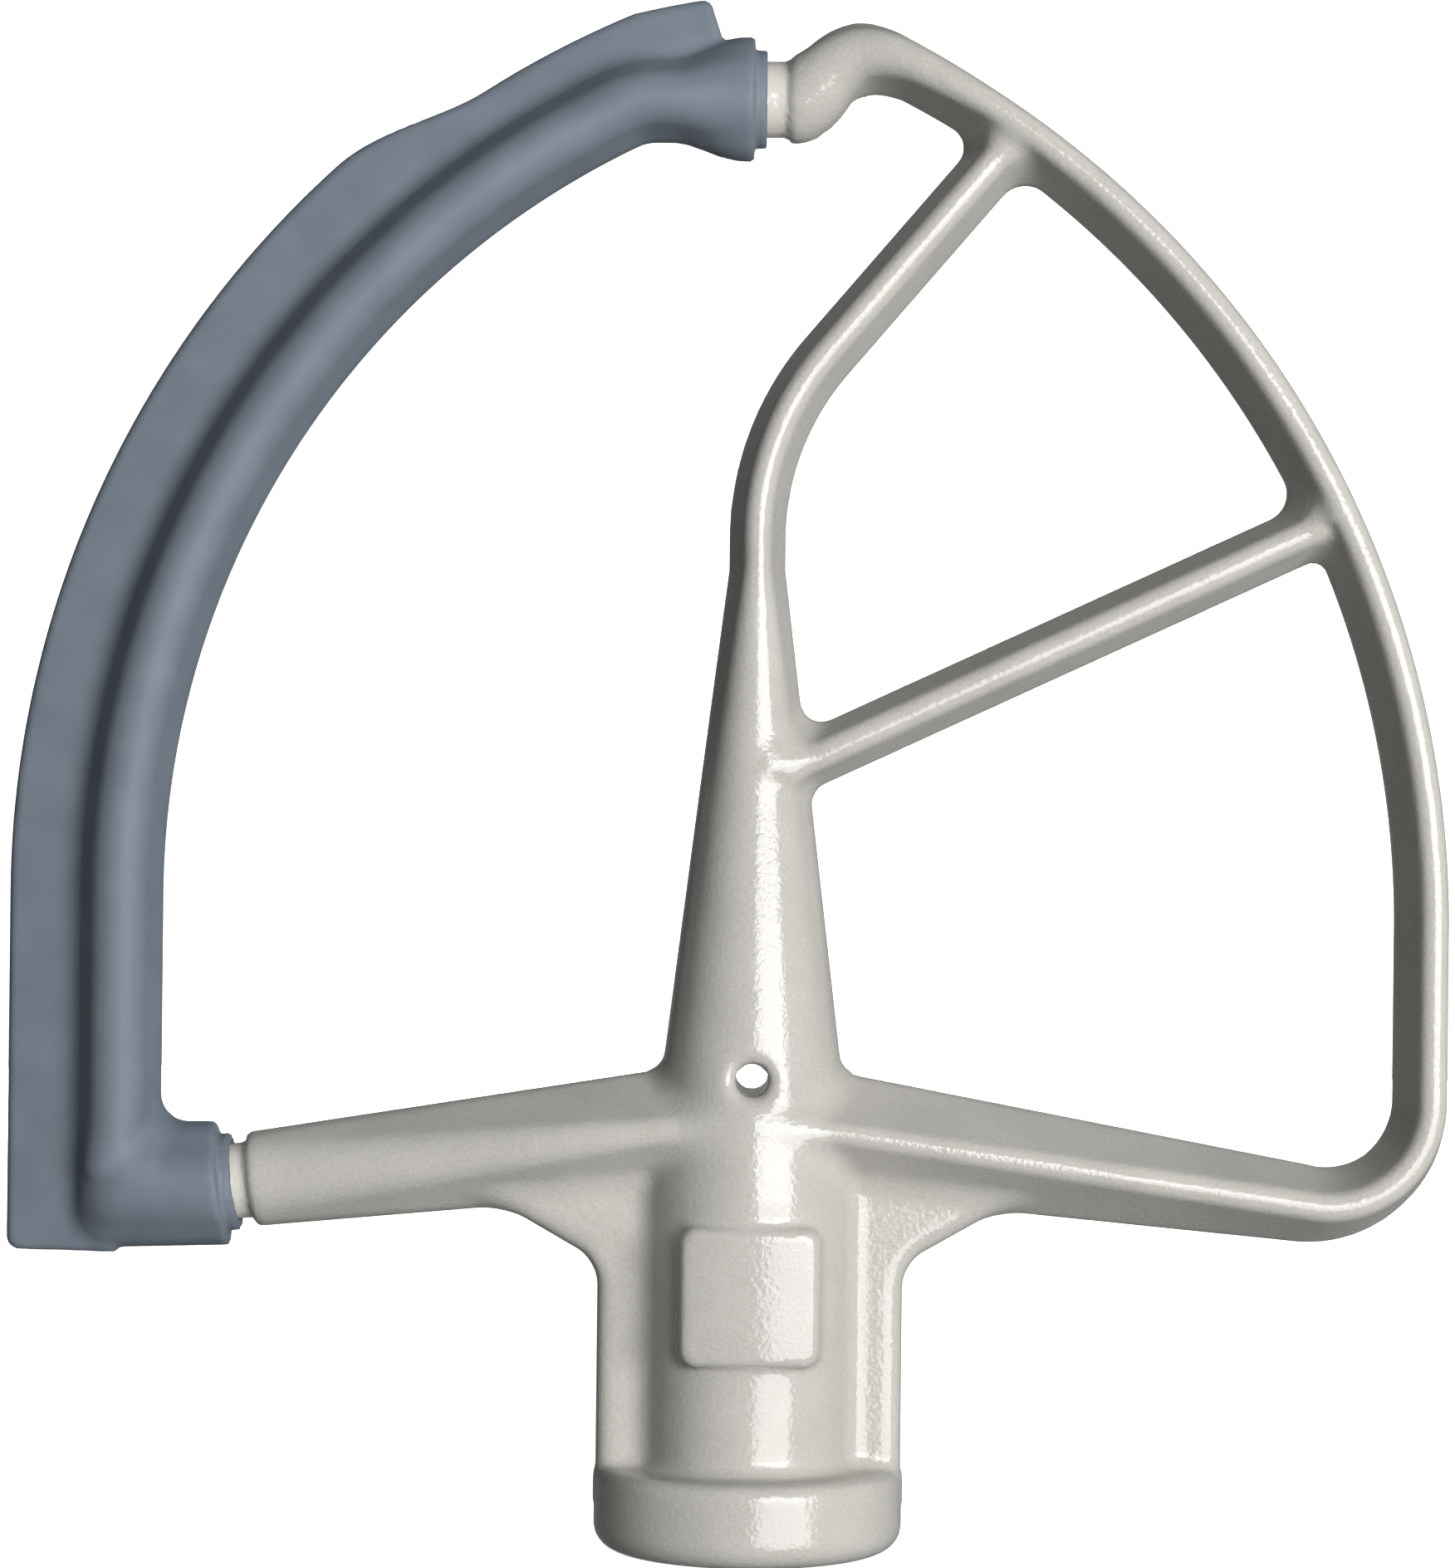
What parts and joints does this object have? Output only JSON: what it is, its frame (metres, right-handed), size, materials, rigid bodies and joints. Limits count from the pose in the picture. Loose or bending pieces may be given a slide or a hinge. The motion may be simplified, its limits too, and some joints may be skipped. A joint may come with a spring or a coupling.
{
  "type": "stand mixer flat beater",
  "caption": "Flat beater for a stand mixer: a light grey coated cast frame with spine, spoke, rib and rim, a bayonet hub, and a blue-grey silicone scraping edge along one side.",
  "frame": {"origin": "on the drive axis at the hub's end face, where the mixer's shaft goes in", "axes": "+Z along the drive axis from the hub towards the beater's far end, +X across the beater towards the plain rim, +Y through its thickness towards the back, away from the bare plate"},
  "size_m": [0.1731, 0.037, 0.1861],
  "materials": {
    "coated_casting": "satin light grey coating over die-cast aluminium, bare at the two necks",
    "silicone": "matte moulded blue-grey silicone"
  },
  "bodies": {
    "root": {"beater_frame": "coated_casting", "flex_edge": "silicone"}
  },
  "joints": []
}
